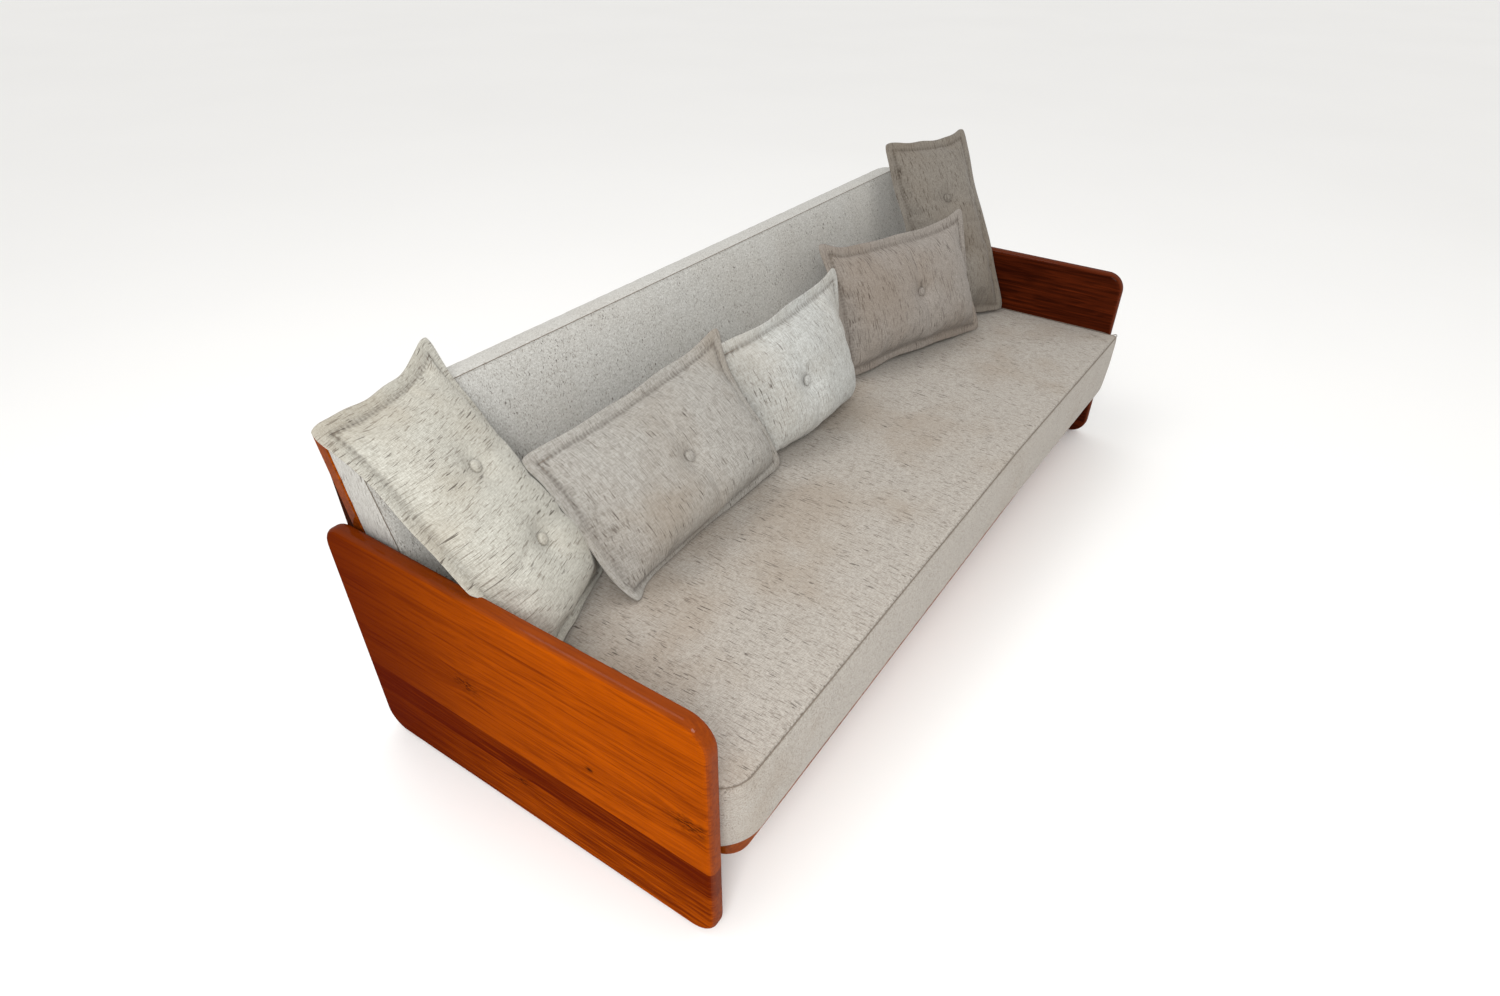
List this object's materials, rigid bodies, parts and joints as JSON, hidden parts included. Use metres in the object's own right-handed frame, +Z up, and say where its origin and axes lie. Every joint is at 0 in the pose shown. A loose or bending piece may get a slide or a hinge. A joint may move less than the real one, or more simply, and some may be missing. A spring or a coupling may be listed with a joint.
{
  "type": "daybed",
  "caption": "Low daybed with solid timber end panels, a sliding tweed seat, a folding upholstered backrest and loose buttoned cushions.",
  "frame": {"origin": "middle of the whole object in plan, on the floor under the glides", "axes": "+X along the length to the right as seen from the front, -Y is the front, +Z up"},
  "size_m": [2.1, 0.873, 0.8194],
  "materials": {
    "teak": "satin",
    "beech": "satin",
    "tweed": "matte",
    "filling": "matte",
    "steel": "satin",
    "nylon": "satin"
  },
  "bodies": {
    "frame": {"end_panel_left": "teak", "end_panel_right": "teak", "front_stretcher": "teak", "rear_stretcher": "teak", "runner_left": "beech", "runner_right": "beech", "runner_strips": "nylon", "runner_screws": "steel", "corner_brackets": "steel", "bracket_screws": "steel", "stretcher_dowels": "beech", "floor_glides": "nylon"},
    "seat": {"seat_board": "teak", "seat_bearer_left": "beech", "seat_bearer_right": "beech", "seat_front_rail": "beech", "seat_rear_rail": "beech", "seat_tail_rail": "beech", "seat_cross_bearers": "beech", "seat_stops": "beech", "seat_board_screws": "steel", "mattress_foam": "filling", "mattress_cover": "tweed", "hinge_plate_left": "steel", "hinge_plate_right": "steel", "hinge_plate_screws": "steel", "pivot_pins": "steel"},
    "backrest": {"back_board": "teak", "back_foam": "filling", "back_cover": "tweed", "back_cheek_left": "teak", "back_cheek_right": "teak", "back_arm_left": "steel", "back_arm_right": "steel", "back_arm_screws": "steel", "cheek_screws": "steel"},
    "left_end_cushion": {"left_end_cushion_front": "tweed", "left_end_cushion_back": "tweed", "left_end_cushion_filling": "filling", "left_end_cushion_buttons": "tweed"},
    "right_end_cushion": {"right_end_cushion_front": "tweed", "right_end_cushion_back": "tweed", "right_end_cushion_filling": "filling", "right_end_cushion_buttons": "tweed"},
    "left_pillow": {"left_pillow_front": "tweed", "left_pillow_back": "tweed", "left_pillow_filling": "filling", "left_pillow_buttons": "tweed"},
    "middle_pillow": {"middle_pillow_front": "tweed", "middle_pillow_back": "tweed", "middle_pillow_filling": "filling", "middle_pillow_buttons": "tweed"},
    "right_pillow": {"right_pillow_front": "tweed", "right_pillow_back": "tweed", "right_pillow_filling": "filling", "right_pillow_buttons": "tweed"}
  },
  "joints": [
    {"name": "seat_slide", "type": "slide", "parent": "frame", "child": "seat", "axis": [0, -1, 0], "range_m": [0, 0.28]},
    {"name": "backrest_fold", "type": "hinge", "parent": "seat", "child": "backrest", "pos_m": [0, 0.25, 0.335], "axis": [-1, 0, 0], "range_deg": [0, 73]},
    {"name": "left_end_cushion_lift", "type": "slide", "parent": "seat", "child": "left_end_cushion", "axis": [0, 0, 1], "range_m": [0, 0.2]},
    {"name": "right_end_cushion_lift", "type": "slide", "parent": "seat", "child": "right_end_cushion", "axis": [0, 0, 1], "range_m": [0, 0.12]},
    {"name": "left_pillow_lift", "type": "slide", "parent": "seat", "child": "left_pillow", "axis": [0, 0, 1], "range_m": [0, 0.2]},
    {"name": "middle_pillow_lift", "type": "slide", "parent": "seat", "child": "middle_pillow", "axis": [0, 0, 1], "range_m": [0, 0.2]},
    {"name": "right_pillow_lift", "type": "slide", "parent": "seat", "child": "right_pillow", "axis": [0, 0, 1], "range_m": [0, 0.2]}
  ]
}
